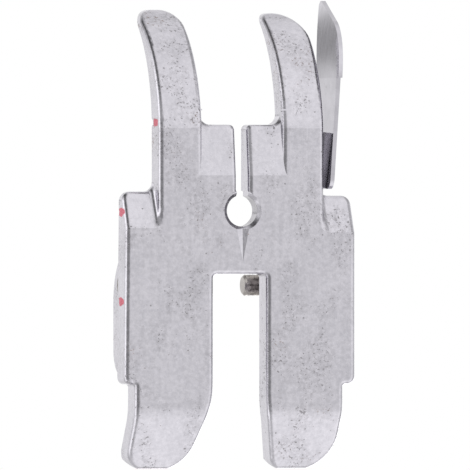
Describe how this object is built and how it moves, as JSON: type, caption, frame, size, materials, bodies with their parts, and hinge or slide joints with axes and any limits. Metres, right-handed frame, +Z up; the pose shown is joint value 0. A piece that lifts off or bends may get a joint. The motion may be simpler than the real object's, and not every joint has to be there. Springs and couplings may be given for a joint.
{
  "type": "sewing machine presser foot",
  "caption": "Clip-on presser foot with two up-curved toes, a slotted flat sole, a round needle hole with a thread slit, ears with cross studs and a thin edge guide beside the right toe.",
  "frame": {"origin": "needle axis where it meets the plane of the sole's underside", "axes": "+X to the sewer's right, +Y to the back of the machine, +Z up from the sole"},
  "size_m": [0.0172, 0.0333, 0.0081],
  "materials": {
    "plated_casting": "satin tumbled plating",
    "stud_steel": "turned, dull",
    "guide_sheet": "smooth rolled sheet"
  },
  "bodies": {
    "root": {"foot_body": "plated_casting", "stud_left": "stud_steel", "stud_right": "stud_steel", "edge_guide": "guide_sheet"}
  },
  "joints": []
}
